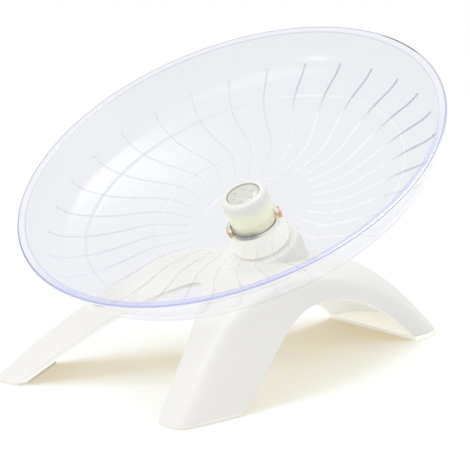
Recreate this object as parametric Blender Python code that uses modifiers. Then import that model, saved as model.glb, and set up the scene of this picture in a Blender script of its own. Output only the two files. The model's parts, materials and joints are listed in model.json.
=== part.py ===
"""Flying saucer wheel: a clear running dish that spins on a tilted ball bearing over a
three-legged stand. Metres, +Z up, origin on the floor under the middle of the outline.
The dish leans towards -Y, where the two front legs are, and the rear leg points to +Y."""
import math

import bmesh
import bpy
from mathutils import Matrix, Vector

# Whole wheel
RIM_RADIUS = 0.0900
RIM_CENTRE_HEIGHT = 0.0832
DISH_TILT_DEGREES = 26.6

# Gaps between pieces: seated faces, loose fits, turning parts and the overrun of a cut
SEAT_GAP = 0.0003
FIT_GAP = 0.0003
RUNNING_GAP = 0.0010
CUT_OVERRUN = 0.0200

# Dish: lip, steep wall, bowl floor and the collar that holds the bearing
LIP_HEIGHT = 0.0025
LIP_WIDTH = 0.0034
DISH_WALL = 0.0018
WALL_HEIGHT = 0.0133
WALL_LEAN = 0.0036
WALL_FILLET = 0.0042
FLOOR_DEPTH = 0.0250
COLLAR_WALL = 0.0020
LEDGE_WIDTH = 0.0017
LEDGE_THICKNESS = 0.0015
RING_RADII = (0.0220, 0.0406, 0.0670)
RING_WIDTH = 0.0012
RING_RISE = 0.0005

# Ball bearing
BEARING_RADIUS = 0.0095
BEARING_BORE = 0.00315
BEARING_WIDTH = 0.0060
BEARING_DROP = 0.0060
BALL_RADIUS = 0.0016
BALL_COUNT = 7
BALL_GAP = 0.00025
RACE_GAP = 0.0021
SHIELD_THICKNESS = 0.0004
SHIELD_INSET = 0.0001
CAGE_WALL = 0.0008

# Clip over the bearing, with an ear on each side
CLIP_THICKNESS = 0.0005
CLIP_WIDTH = 0.0008
EAR_WIDTH = 0.0040
EAR_HEIGHT = 0.0032
EAR_THICKNESS = 0.0008
EAR_REACH = 0.0016
EAR_ANGLE_DEGREES = 56.25

# Bolt, washers, spacer and lock nut
BOLT_RADIUS = 0.00285
BOLT_LENGTH = 0.0285
HEX_ACROSS_FLATS = 0.0100
HEAD_HEIGHT = 0.0040
WASHER_RADIUS = 0.0056
LOWER_WASHER_RADIUS = 0.0064
WASHER_THICKNESS = 0.0010
SPACER_RADIUS = 0.0047
NUT_HEIGHT = 0.0050
INSERT_HEIGHT = 0.0014
INSERT_RADIUS = 0.0042

# Cap over the nut
CAP_BASE_RADIUS = 0.0088
CAP_TOP_RADIUS = 0.0097
CAP_HEIGHT = 0.0153
CAP_CLEARANCE = 0.0013
CAP_SHOULDER = 0.0022
CAP_ROOF = 0.0020
CAP_RECESS_RADIUS = 0.0069
CAP_RECESS_DEPTH = 0.0016
BADGE_THICKNESS = 0.0008
BADGE_DOT_COUNT = 6
BADGE_DOT_RADIUS = 0.0009
BADGE_DOT_HEIGHT = 0.0003
BADGE_DOT_CIRCLE = 0.0042

# Stand: one moulded shell with two front legs, a rear leg and a hub boss
SHELL_WALL = 0.0022
FRONT_REACH = 0.0795
FRONT_HALF_SPREAD = 0.0520
REAR_REACH = 0.1035
REAR_HALF_WIDTH = 0.0220
BOSS_STAND_OFF = 0.00560
BOSS_RADIUS = 0.0155
BOSS_WEB = 0.0092
POCKET_RADIUS = 0.0072
POCKET_DEPTH = 0.0066
SOLE_THICKNESS = 0.0012

# How finely round pieces are divided
DISH_SEGMENTS = 64
CAP_SEGMENTS = 40
RING_SEGMENTS = 32
SMALL_SEGMENTS = 20
BALL_SEGMENTS = 10
BALL_RINGS = 6
DOT_SEGMENTS = 10
ARC_STEPS = 3
GROOVE_STEPS = 4
FLOOR_STEPS = 5

# Share by which the clip's feet are thinner and narrower than its ring and ears
FOOT_INSET_SHARE = 0.15

# Shares of the edge roundness of the stand, and of the corner between its top and its skirt
RIDGE_TOP_SHARE = 0.20
RIDGE_SKIRT_SHARE = 0.16

# Each row crosses half the stand: inner edge, middle of the top, ridge and hem of the skirt.
# A point is (along, across, up): shares of the leg's reach, its half width and the height of the saddle under the boss.
FRONT_ROW_SHARES = (
    ((1.057, 0.798, -0.100), (1.076, 0.923, -0.100), (1.070, 1.040, -0.100), (0.667, 1.067, -0.100)),
    ((0.730, 0.577, 0.340), (0.748, 0.731, 0.386), (0.750, 0.875, 0.376), (0.399, 0.923, 0.255)),
    ((0.453, 0.337, 0.662), (0.459, 0.519, 0.738), (0.453, 0.673, 0.733), (0.189, 0.817, 0.519)),
    ((0.277, 0.125, 0.821), (0.189, 0.404, 0.917), (0.176, 0.644, 0.912), (0.013, 0.735, 0.702)),
    ((0.189, 0.000, 0.881), (0.000, 0.365, 0.976), (-0.050, 0.654, 0.960), (-0.126, 0.692, 0.729)),
)
REAR_ROW_SHARES = (
    ((0.174, 0.000, 1.012), (0.174, 0.773, 0.995), (0.184, 1.432, 0.893), (0.213, 1.500, 0.705)),
    ((0.367, 0.000, 0.981), (0.367, 0.682, 0.936), (0.367, 1.250, 0.762), (0.367, 1.295, 0.626)),
    ((0.580, 0.000, 0.821), (0.570, 0.591, 0.762), (0.560, 1.068, 0.571), (0.551, 1.091, 0.429)),
    ((0.792, 0.000, 0.524), (0.773, 0.568, 0.476), (0.725, 1.014, 0.357), (0.686, 1.014, 0.221)),
    ((1.034, 0.000, -0.100), (1.005, 0.591, -0.100), (0.918, 1.023, -0.088), (0.831, 1.023, -0.088)),
)

# Colours as red, green, blue, with roughness and metallic
WHITE_PLASTIC = ((0.88, 0.87, 0.84), 0.42, 0.0)
CLEAR_PLASTIC = ((0.90, 0.91, 0.95), 0.05, 0.0)
CREAM_PLASTIC = ((0.83, 0.84, 0.76), 0.30, 0.0)
SOFT_PAD = ((0.72, 0.71, 0.68), 0.70, 0.0)
BRIGHT_STEEL = ((0.62, 0.62, 0.64), 0.25, 1.0)
DARK_STEEL = ((0.30, 0.30, 0.32), 0.35, 1.0)
BRONZE = ((0.52, 0.33, 0.16), 0.35, 1.0)
NYLON = ((0.75, 0.78, 0.85), 0.50, 0.0)

DISH_TILT = math.radians(DISH_TILT_DEGREES)
EAR_ANGLE = math.radians(EAR_ANGLE_DEGREES)

# Levels along the tilted axis, measured from the rim's plane
floor_level = -FLOOR_DEPTH
bearing_top = floor_level - BEARING_DROP
bearing_bottom = bearing_top - BEARING_WIDTH
bearing_middle = bearing_top - BEARING_WIDTH / 2
ledge_top = bearing_bottom - SEAT_GAP
collar_bottom = ledge_top - LEDGE_THICKNESS
boss_top = collar_bottom - RUNNING_GAP
pocket_floor = boss_top - BOSS_WEB
boss_bottom = pocket_floor - POCKET_DEPTH
saddle_height = RIM_CENTRE_HEIGHT + boss_top * math.cos(DISH_TILT) - BOSS_STAND_OFF
lower_washer_top = pocket_floor - SEAT_GAP
lower_washer_bottom = lower_washer_top - WASHER_THICKNESS
head_top = lower_washer_bottom - SEAT_GAP
head_bottom = head_top - HEAD_HEIGHT
bolt_end = head_top + BOLT_LENGTH
spacer_top = bearing_bottom - SEAT_GAP
spacer_bottom = boss_top + SEAT_GAP
upper_washer_bottom = bearing_top + SEAT_GAP
upper_washer_top = upper_washer_bottom + WASHER_THICKNESS
nut_bottom = upper_washer_top + SEAT_GAP
nut_top = nut_bottom + NUT_HEIGHT
clip_bottom = bearing_top + SEAT_GAP
clip_top = clip_bottom + CLIP_THICKNESS
cap_base = bearing_top + CAP_CLEARANCE
cap_top = cap_base + CAP_HEIGHT
recess_floor = cap_top - CAP_RECESS_DEPTH
cavity_top = recess_floor - CAP_ROOF
badge_bottom = recess_floor + SEAT_GAP
badge_top = badge_bottom + BADGE_THICKNESS

# Radii around the axis
collar_bore = BEARING_RADIUS + FIT_GAP
collar_outer = collar_bore + COLLAR_WALL
ledge_radius = collar_bore - LEDGE_WIDTH
hex_corner = HEX_ACROSS_FLATS / math.sqrt(3)
cavity_radius = hex_corner + FIT_GAP
pitch_radius = (BEARING_BORE + BEARING_RADIUS) / 2
inner_land = pitch_radius - RACE_GAP / 2
outer_land = pitch_radius + RACE_GAP / 2
groove_radius = BALL_RADIUS + BALL_GAP
wall_foot_radius = RIM_RADIUS - LIP_WIDTH - WALL_LEAN


def clear_scene():
    for thing in list(bpy.data.objects):
        bpy.data.objects.remove(thing, do_unlink=True)


def make_collection(name):
    collection = bpy.data.collections.new(name)
    bpy.context.scene.collection.children.link(collection)
    return collection


def make_material(name, finish):
    colour, roughness, metallic = finish
    material = bpy.data.materials.new(name)
    material.use_nodes = True
    shader = material.node_tree.nodes["Principled BSDF"]
    shader.inputs["Base Color"].default_value = (*colour, 1.0)
    shader.inputs["Roughness"].default_value = roughness
    shader.inputs["Metallic"].default_value = metallic
    return material


def add_empty(name, parent=None, location=(0, 0, 0), tilt=0.0):
    empty = bpy.data.objects.new(name, None)
    empty.location = location
    empty.rotation_euler = (tilt, 0, 0)
    empty.parent = parent
    parts.objects.link(empty)
    return empty


def add_object(name, mesh, collection, parent=None, finish=None):
    thing = bpy.data.objects.new(name, mesh)
    thing.parent = parent
    collection.objects.link(thing)
    if finish is not None:
        mesh.materials.append(make_material(name + "_finish", finish))
    return thing


def hide_cutter(cutter):
    cutter.hide_render = True
    cutter.display_type = "WIRE"
    return cutter


def smooth(mesh):
    mesh.shade_smooth()
    mesh.set_sharp_from_angle(angle=math.radians(35))


def evaluated_mesh(thing):
    """The object's mesh after its modifiers, smooth shaded, with double points merged."""
    bpy.context.view_layer.update()
    graph = bpy.context.evaluated_depsgraph_get()
    mesh = bpy.data.meshes.new_from_object(thing.evaluated_get(graph))
    smooth(mesh)
    return mesh


def profile_mesh(name, profile, closed):
    """A profile of (radius, height) points in the XZ plane."""
    mesh = bpy.data.meshes.new(name)
    points = [(radius, 0.0, height) for radius, height in profile]
    edges = [(index, index + 1) for index in range(len(points) - 1)]
    if closed:
        edges.append((len(points) - 1, 0))
    mesh.from_pydata(points, edges, [])
    return mesh


def add_screw(thing, segments):
    screw = thing.modifiers.new("turn", "SCREW")
    screw.steps = segments
    screw.render_steps = segments
    screw.use_merge_vertices = True
    screw.merge_threshold = 0.00001
    screw.use_smooth_shade = True


def turned(name, profile, segments, parent, finish, closed=True):
    """A turned piece. Its profile runs down the outer side and back up the bore."""
    thing = add_object(name, profile_mesh(name, profile, closed), parts, parent, finish)
    add_screw(thing, segments)
    return thing


def turned_cutter(name, profile, segments, parent):
    thing = add_object(name, profile_mesh(name, profile, False), cutters, parent)
    add_screw(thing, segments)
    return hide_cutter(thing)


def ring_profile(outer, inner, top, bottom):
    return [(outer, top), (outer, bottom), (inner, bottom), (inner, top)]


def disc_profile(radius, top, bottom):
    return [(0, top), (radius, top), (radius, bottom), (0, bottom)]


def arc(centre, radius, start, end, steps):
    """Points on an arc, from the start angle to the end angle in degrees."""
    points = []
    for step in range(steps + 1):
        angle = math.radians(start + (end - start) * step / steps)
        points.append((centre[0] + radius * math.cos(angle), centre[1] + radius * math.sin(angle)))
    return points


def add_boolean(thing, cutter, operation):
    boolean = thing.modifiers.new(operation.lower() + "_" + cutter.name, "BOOLEAN")
    boolean.operation = operation
    boolean.solver = "EXACT"
    boolean.object = cutter


def box_mesh(name, low, high):
    """A box between two corners."""
    low = Vector(low)
    high = Vector(high)
    shape = bmesh.new()
    place = Matrix.Translation((low + high) / 2) @ Matrix.Diagonal((*(high - low), 1.0))
    bmesh.ops.create_cube(shape, size=1.0, matrix=place)
    mesh = bpy.data.meshes.new(name)
    shape.to_mesh(mesh)
    shape.free()
    return mesh


def prism_mesh(name, radius, top, bottom, sides, turn=0.0):
    """An upright prism around the axis, such as a hexagon."""
    shape = bmesh.new()
    place = Matrix.Translation((0, 0, (top + bottom) / 2)) @ Matrix.Rotation(turn, 4, "Z")
    bmesh.ops.create_cone(shape, cap_ends=True, segments=sides, radius1=radius, radius2=radius,
                          depth=top - bottom, matrix=place)
    mesh = bpy.data.meshes.new(name)
    shape.to_mesh(mesh)
    shape.free()
    return mesh


# Stand

def cage_row(row, reach, half_width, sign):
    """A row's cage points, with two points close to the ridge to keep it crisp."""
    edge, middle, ridge, hem = (
        Vector((across * half_width, -sign * along * reach, up * saddle_height))
        for along, across, up in row)
    above = ridge.lerp(middle, RIDGE_TOP_SHARE)
    below = ridge.lerp(hem, RIDGE_SKIRT_SHARE)
    return [edge, middle, above, below, hem]


def stand_cage_mesh():
    """Half of the stand as an open cage, for the mirror and the subdivision."""
    rows = [cage_row(row, FRONT_REACH, FRONT_HALF_SPREAD, 1) for row in FRONT_ROW_SHARES]
    rows += [cage_row(row, REAR_REACH, REAR_HALF_WIDTH, -1) for row in REAR_ROW_SHARES]
    width = len(rows[0])
    faces = []
    for row in range(len(rows) - 1):
        for column in range(width - 1):
            corner = row * width + column
            faces.append((corner, corner + width, corner + width + 1, corner + 1))
    mesh = bpy.data.meshes.new("stand_cage")
    mesh.from_pydata([point for row in rows for point in row], [], faces)
    return mesh


def add_shell_modifiers(thing):
    mirror = thing.modifiers.new("other_half", "MIRROR")
    mirror.use_axis = (True, False, False)
    mirror.use_clip = True
    mirror.merge_threshold = 0.00005
    soften = thing.modifiers.new("soften", "SUBSURF")
    soften.levels = 2
    soften.render_levels = 2
    thicken = thing.modifiers.new("wall", "SOLIDIFY")
    thicken.thickness = SHELL_WALL
    thicken.offset = -1.0
    thicken.use_even_offset = True


def foot_outline(form_mesh, side):
    """The outline of one foot where the stand's wall meets its sole, as a convex ring."""
    shape = bmesh.new()
    shape.from_mesh(form_mesh)
    level = Vector((0, 0, SOLE_THICKNESS + SEAT_GAP))
    everything = shape.verts[:] + shape.edges[:] + shape.faces[:]
    cut = bmesh.ops.bisect_plane(shape, geom=everything, plane_co=level, plane_no=(0, 0, 1))
    points = [item.co.copy() for item in cut["geom_cut"] if isinstance(item, bmesh.types.BMVert)]
    shape.free()
    if side == 0:
        return [point for point in points if point.y > 0]
    return [point for point in points if point.y < 0 and point.x * side > 0]


def sole_mesh(name, outline):
    """A flat sole under one foot: the hull of the foot's outline, of even thickness."""
    shape = bmesh.new()
    for point in outline:
        shape.verts.new((point.x, point.y, 0))
        shape.verts.new((point.x, point.y, SOLE_THICKNESS))
    hull = bmesh.ops.convex_hull(shape, input=shape.verts)
    spare = [item for item in hull["geom_interior"] + hull["geom_unused"]
             if isinstance(item, bmesh.types.BMVert)]
    bmesh.ops.delete(shape, geom=list(set(spare)), context="VERTS")
    bmesh.ops.dissolve_limit(shape, angle_limit=math.radians(1), verts=shape.verts,
                             edges=shape.edges)
    bmesh.ops.recalc_face_normals(shape, faces=shape.faces)
    mesh = bpy.data.meshes.new(name)
    shape.to_mesh(mesh)
    shape.free()
    return mesh


def build_stand(form_mesh, floor, axis):
    """The shell with its hub boss, cut flat above the soles and bored for the bolt."""
    stand = add_object("stand", form_mesh, parts, floor, WHITE_PLASTIC)
    boss = add_object("boss_form", prism_mesh("boss_form", BOSS_RADIUS, boss_top, boss_bottom,
                                              RING_SEGMENTS), cutters, axis)
    add_boolean(stand, hide_cutter(boss), "UNION")
    bore = turned_cutter("bolt_bore", [(0, boss_top + CUT_OVERRUN), (BEARING_BORE, boss_top + CUT_OVERRUN),
                                       (BEARING_BORE, pocket_floor), (POCKET_RADIUS, pocket_floor),
                                       (POCKET_RADIUS, boss_bottom - CUT_OVERRUN),
                                       (0, boss_bottom - CUT_OVERRUN)], SMALL_SEGMENTS, axis)
    add_boolean(stand, bore, "DIFFERENCE")
    level = SOLE_THICKNESS + SEAT_GAP
    side = REAR_REACH + CUT_OVERRUN
    ground = add_object("ground_cut", box_mesh("ground_cut", (-side, -side, -CUT_OVERRUN),
                                               (side, side, level)), cutters, floor)
    add_boolean(stand, hide_cutter(ground), "DIFFERENCE")
    return stand


# Dish

def floor_height(radius):
    """The bowl's inner floor rises with the square of the radius, up to the foot of the wall."""
    rise = FLOOR_DEPTH - WALL_HEIGHT
    return floor_level + rise * (radius / wall_foot_radius) ** 2


def ring_bump(radius):
    """A low raised ring moulded on the inner floor, listed from the outside in."""
    outer = radius + RING_WIDTH / 2
    inner = radius - RING_WIDTH / 2
    shoulder = RING_WIDTH / 4
    return [(outer, floor_height(outer)),
            (radius + shoulder, floor_height(radius) + RING_RISE),
            (radius - shoulder, floor_height(radius) + RING_RISE),
            (inner, floor_height(inner))]


def bend(start, corner, end, steps):
    """Points on a smooth bend that leaves the start and reaches the end, both towards the corner."""
    points = []
    for step in range(steps + 1):
        share = step / steps
        near = Vector(start).lerp(Vector(corner), share)
        points.append(tuple(near.lerp(Vector(corner).lerp(Vector(end), share), share)))
    return points


def dish_profile():
    wall_top = RIM_RADIUS - LIP_WIDTH
    lean = WALL_LEAN / WALL_HEIGHT
    outer_wall = wall_top + DISH_WALL - lean * LIP_HEIGHT
    outer_fillet = WALL_FILLET + DISH_WALL
    corner_radius = wall_foot_radius + DISH_WALL
    corner = (corner_radius, floor_height(corner_radius) - DISH_WALL)
    above_corner = (corner_radius + lean * outer_fillet, corner[1] + outer_fillet)
    beside_corner = (corner_radius - outer_fillet, floor_height(corner_radius - outer_fillet) - DISH_WALL)
    profile = [(RIM_RADIUS, 0), (RIM_RADIUS, -LIP_HEIGHT), (outer_wall, -LIP_HEIGHT)]
    profile += bend(above_corner, corner, beside_corner, ARC_STEPS)
    last = profile[-1][0]
    for step in range(1, FLOOR_STEPS + 1):
        radius = last + (collar_outer - last) * step / FLOOR_STEPS
        profile.append((radius, floor_height(radius) - DISH_WALL))
    profile += [(collar_outer, collar_bottom), (ledge_radius, collar_bottom),
                (ledge_radius, ledge_top), (collar_bore, ledge_top)]
    profile += [(collar_bore, floor_height(collar_bore))]
    inward = []
    for radius in reversed(RING_RADII):
        inward += ring_bump(radius)
    profile += list(reversed(inward))
    foot = (wall_foot_radius, -WALL_HEIGHT)
    before_foot = (wall_foot_radius - WALL_FILLET, floor_height(wall_foot_radius - WALL_FILLET))
    above_foot = (wall_foot_radius + lean * WALL_FILLET, -WALL_HEIGHT + WALL_FILLET)
    profile += bend(before_foot, foot, above_foot, ARC_STEPS)
    profile += [(wall_top, 0)]
    return profile


def build_dish(spin):
    dish = turned("dish", dish_profile(), DISH_SEGMENTS, spin, CLEAR_PLASTIC)
    reach = collar_bore + EAR_REACH + FIT_GAP
    half = EAR_WIDTH / 2 + FIT_GAP
    notch = add_object("clip_notch", box_mesh("clip_notch", (-reach, -half, clip_bottom - SEAT_GAP),
                                              (reach, half, floor_level + CUT_OVERRUN)), cutters, spin)
    notch.rotation_euler = (0, 0, EAR_ANGLE)
    add_boolean(dish, hide_cutter(notch), "DIFFERENCE")
    return dish


# Bearing

def outer_race_profile():
    half = BEARING_WIDTH / 2
    edge = math.degrees(math.asin(min(1.0, (outer_land - pitch_radius) / groove_radius)))
    groove = arc((pitch_radius, bearing_middle), groove_radius, -90 + edge, 90 - edge, GROOVE_STEPS)
    return [(BEARING_RADIUS, bearing_middle + half), (BEARING_RADIUS, bearing_middle - half),
            (outer_land, bearing_middle - half)] + groove + [(outer_land, bearing_middle + half)]


def inner_race_profile():
    half = BEARING_WIDTH / 2
    edge = math.degrees(math.asin(min(1.0, (pitch_radius - inner_land) / groove_radius)))
    groove = arc((pitch_radius, bearing_middle), groove_radius, 90 + edge, 270 - edge, GROOVE_STEPS)
    return [(inner_land, bearing_middle + half)] + groove + [
        (inner_land, bearing_middle - half), (BEARING_BORE, bearing_middle - half),
        (BEARING_BORE, bearing_middle + half)]


def ball_place(index):
    angle = 2 * math.pi * index / BALL_COUNT
    return Vector((pitch_radius * math.cos(angle), pitch_radius * math.sin(angle), bearing_middle))


def build_ball(name, place, cage_spin):
    shape = bmesh.new()
    bmesh.ops.create_uvsphere(shape, u_segments=BALL_SEGMENTS, v_segments=BALL_RINGS, radius=BALL_RADIUS,
                              matrix=Matrix.Translation(place))
    mesh = bpy.data.meshes.new(name)
    shape.to_mesh(mesh)
    shape.free()
    smooth(mesh)
    return add_object(name, mesh, parts, cage_spin, BRIGHT_STEEL)


def build_cage(cage_spin):
    """A band between the races, with a round pocket for each ball."""
    half = BEARING_WIDTH / 2 - SHIELD_INSET - SHIELD_THICKNESS - SEAT_GAP
    cage = turned("bearing_cage", ring_profile(pitch_radius + CAGE_WALL / 2, pitch_radius - CAGE_WALL / 2,
                                               bearing_middle + half, bearing_middle - half),
                  BALL_COUNT * 4, cage_spin, BRONZE)
    shape = bmesh.new()
    for index in range(BALL_COUNT):
        angle = 2 * math.pi * index / BALL_COUNT
        place = (Matrix.Translation(ball_place(index)) @ Matrix.Rotation(angle, 4, "Z")
                 @ Matrix.Rotation(math.pi / 2, 4, "Y"))
        bmesh.ops.create_cone(shape, cap_ends=True, segments=DOT_SEGMENTS, radius1=groove_radius,
                              radius2=groove_radius, depth=CAGE_WALL * 3, matrix=place)
    mesh = bpy.data.meshes.new("ball_pockets")
    shape.to_mesh(mesh)
    shape.free()
    add_boolean(cage, hide_cutter(add_object("ball_pockets", mesh, cutters, cage_spin)), "DIFFERENCE")
    return cage


def build_bearing(axis, spin, cage_spin):
    turned("bearing_outer_ring", outer_race_profile(), RING_SEGMENTS, spin, BRIGHT_STEEL)
    turned("bearing_inner_ring", inner_race_profile(), RING_SEGMENTS, axis, BRIGHT_STEEL)
    wide = outer_land - FIT_GAP
    narrow = inner_land + FIT_GAP
    top = bearing_top - SHIELD_INSET
    bottom = bearing_bottom + SHIELD_INSET
    turned("bearing_shield_top", ring_profile(wide, narrow, top, top - SHIELD_THICKNESS),
           RING_SEGMENTS, spin, DARK_STEEL)
    turned("bearing_shield_bottom", ring_profile(wide, narrow, bottom + SHIELD_THICKNESS, bottom),
           RING_SEGMENTS, spin, DARK_STEEL)
    for index in range(BALL_COUNT):
        build_ball("bearing_ball_" + str(index + 1), ball_place(index), cage_spin)
    build_cage(cage_spin)


def build_clip(spin):
    """A thin ring on the bearing's outer ring, with an upright ear in each notch of the collar."""
    clip = turned("bearing_clip", ring_profile(BEARING_RADIUS, BEARING_RADIUS - CLIP_WIDTH,
                                               clip_top, clip_bottom), RING_SEGMENTS, spin, BRONZE)
    reach = collar_bore + EAR_REACH
    foot_low = clip_bottom + CLIP_THICKNESS * FOOT_INSET_SHARE
    foot_high = clip_top - CLIP_THICKNESS * FOOT_INSET_SHARE
    foot_half = EAR_WIDTH * (1 - FOOT_INSET_SHARE) / 2
    for name, turn in (("right", EAR_ANGLE), ("left", EAR_ANGLE + math.pi)):
        foot = add_object("clip_foot_" + name, box_mesh(
            "clip_foot", (BEARING_RADIUS - CLIP_WIDTH / 2, -foot_half, foot_low),
            (reach - EAR_THICKNESS / 2, foot_half, foot_high)), cutters, spin)
        ear = add_object("clip_ear_" + name, box_mesh(
            "clip_ear", (reach - EAR_THICKNESS, -EAR_WIDTH / 2, clip_bottom),
            (reach, EAR_WIDTH / 2, clip_bottom + EAR_HEIGHT)), cutters, spin)
        for piece in (foot, ear):
            piece.rotation_euler = (0, 0, turn)
            add_boolean(clip, hide_cutter(piece), "UNION")
    return clip


# Axle

def build_axle(axis):
    bolt = add_object("axle_bolt", prism_mesh("axle_bolt", hex_corner, head_top, head_bottom, 6),
                      parts, axis, BRIGHT_STEEL)
    shank = turned_cutter("bolt_shank", disc_profile(BOLT_RADIUS, bolt_end, head_top - HEAD_HEIGHT / 2),
                          SMALL_SEGMENTS, axis)
    add_boolean(bolt, shank, "UNION")
    turned("bolt_washer", ring_profile(LOWER_WASHER_RADIUS, BEARING_BORE, lower_washer_top,
                                       lower_washer_bottom), SMALL_SEGMENTS, axis, BRIGHT_STEEL)
    turned("spacer_sleeve", ring_profile(SPACER_RADIUS, BEARING_BORE, spacer_top, spacer_bottom),
           SMALL_SEGMENTS, axis, BRIGHT_STEEL)
    turned("upper_washer", ring_profile(WASHER_RADIUS, BEARING_BORE, upper_washer_top,
                                        upper_washer_bottom), SMALL_SEGMENTS, axis, BRIGHT_STEEL)
    nut = add_object("lock_nut", prism_mesh("lock_nut", hex_corner, nut_top, nut_bottom, 6),
                     parts, axis, BRIGHT_STEEL)
    seat = nut_top - INSERT_HEIGHT
    seat_radius = INSERT_RADIUS + FIT_GAP
    thread = turned_cutter("nut_bore", [(0, nut_top + CUT_OVERRUN), (seat_radius, nut_top + CUT_OVERRUN),
                                        (seat_radius, seat), (BEARING_BORE, seat),
                                        (BEARING_BORE, nut_bottom - CUT_OVERRUN),
                                        (0, nut_bottom - CUT_OVERRUN)], SMALL_SEGMENTS, axis)
    add_boolean(nut, thread, "DIFFERENCE")
    turned("nut_insert", ring_profile(INSERT_RADIUS, BEARING_BORE, nut_top, seat + SEAT_GAP),
           SMALL_SEGMENTS, axis, NYLON)


def cap_profile():
    shoulder = arc((CAP_TOP_RADIUS - CAP_SHOULDER, cap_top - CAP_SHOULDER), CAP_SHOULDER, 90, 0, ARC_STEPS)
    return [(0, recess_floor), (CAP_RECESS_RADIUS, recess_floor), (CAP_RECESS_RADIUS, cap_top)] + shoulder + [
        (CAP_BASE_RADIUS, cap_base), (cavity_radius, cap_base), (cavity_radius, cavity_top),
        (0, cavity_top)]


def build_badge(axis):
    """A bare disc in the cap's recess, with a ring of plain raised dots."""
    badge = turned("cap_badge", disc_profile(CAP_RECESS_RADIUS - FIT_GAP, badge_top, badge_bottom),
                   CAP_SEGMENTS, axis, CREAM_PLASTIC, closed=False)
    shape = bmesh.new()
    height = BADGE_DOT_HEIGHT + BADGE_THICKNESS / 2
    for index in range(BADGE_DOT_COUNT):
        angle = 2 * math.pi * index / BADGE_DOT_COUNT
        place = Vector((BADGE_DOT_CIRCLE * math.cos(angle), BADGE_DOT_CIRCLE * math.sin(angle),
                        badge_top + BADGE_DOT_HEIGHT - height / 2))
        bmesh.ops.create_cone(shape, cap_ends=True, segments=DOT_SEGMENTS, radius1=BADGE_DOT_RADIUS,
                              radius2=BADGE_DOT_RADIUS, depth=height, matrix=Matrix.Translation(place))
    mesh = bpy.data.meshes.new("badge_dots")
    shape.to_mesh(mesh)
    shape.free()
    add_boolean(badge, hide_cutter(add_object("badge_dots", mesh, cutters, axis)), "UNION")


# Assembly

clear_scene()
parts = make_collection("flying_saucer_wheel")
cutters = make_collection("cutters")

form = add_object("stand_form", stand_cage_mesh(), cutters)
add_shell_modifiers(form)
form_mesh = evaluated_mesh(form)
bpy.data.objects.remove(form, do_unlink=True)

rear_outline = foot_outline(form_mesh, 0)
rear_end = max(point.y for point in rear_outline)
front_outline = foot_outline(form_mesh, 1)
front_end = min([-RIM_RADIUS * math.cos(DISH_TILT)] + [point.y for point in front_outline])
floor_frame = add_empty("floor_frame", location=(0, -(rear_end + front_end) / 2, 0))
axis_frame = add_empty("axis_frame", floor_frame, (0, 0, RIM_CENTRE_HEIGHT), DISH_TILT)
dish_frame = add_empty("dish_frame", axis_frame)
cage_frame = add_empty("cage_frame", axis_frame)

build_stand(form_mesh, floor_frame, axis_frame)
for sole_name, sole_side in (("rear_sole", 0), ("front_left_sole", -1), ("front_right_sole", 1)):
    outline_points = foot_outline(form_mesh, sole_side)
    add_object(sole_name, sole_mesh(sole_name, outline_points), parts, floor_frame, SOFT_PAD)
build_dish(dish_frame)
build_bearing(axis_frame, dish_frame, cage_frame)
build_clip(dish_frame)
build_axle(axis_frame)
turned("cap", cap_profile(), CAP_SEGMENTS, axis_frame, CREAM_PLASTIC, closed=False)
build_badge(axis_frame)
bpy.context.view_layer.update()
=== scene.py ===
import json
import math

import bmesh
import bpy
from mathutils import Matrix, Vector


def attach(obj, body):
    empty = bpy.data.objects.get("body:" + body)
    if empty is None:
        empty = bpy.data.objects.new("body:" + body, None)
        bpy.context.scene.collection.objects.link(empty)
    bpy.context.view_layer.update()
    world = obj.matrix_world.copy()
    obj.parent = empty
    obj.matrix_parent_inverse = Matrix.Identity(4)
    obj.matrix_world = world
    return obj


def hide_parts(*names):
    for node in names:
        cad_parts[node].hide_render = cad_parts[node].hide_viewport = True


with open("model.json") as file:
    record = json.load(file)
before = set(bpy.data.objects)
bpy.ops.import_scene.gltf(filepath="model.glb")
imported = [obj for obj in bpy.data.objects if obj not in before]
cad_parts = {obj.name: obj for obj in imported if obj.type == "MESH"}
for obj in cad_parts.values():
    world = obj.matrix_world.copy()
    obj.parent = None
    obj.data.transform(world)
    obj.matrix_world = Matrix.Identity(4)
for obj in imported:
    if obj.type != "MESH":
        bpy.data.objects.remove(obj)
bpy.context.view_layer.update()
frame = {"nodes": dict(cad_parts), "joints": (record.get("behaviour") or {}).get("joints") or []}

# Camera: a long lens, low at the front right of the wheel, so that the view is nearly parallel.
# It is placed from the bearing's centre and the tilted axle, which come from the wheel's joint.
RIM_ABOVE_BEARING = 0.0340
VIEW_AZIMUTH = math.radians(45.0)
VIEW_ELEVATION = math.radians(15.0)
LENS_MM = 1000.0
SENSOR_MM = 36.0
CLIP_END = 100.0
FRAME_HEIGHT = 0.18683
AIM_RIGHT = 0.00153
AIM_DOWN = 0.0278

spin = next(joint for joint in frame["joints"] if joint["name"] == "dish_spin")
axle = Vector(spin["axis"]).normalized()
bearing_centre = Vector(spin["pos_m"])
tilt = math.atan2(-axle.y, axle.z)
rim_centre = bearing_centre + axle * RIM_ABOVE_BEARING
on_axle = Matrix.Translation(rim_centre) @ Matrix.Rotation(tilt, 4, "X")

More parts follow.
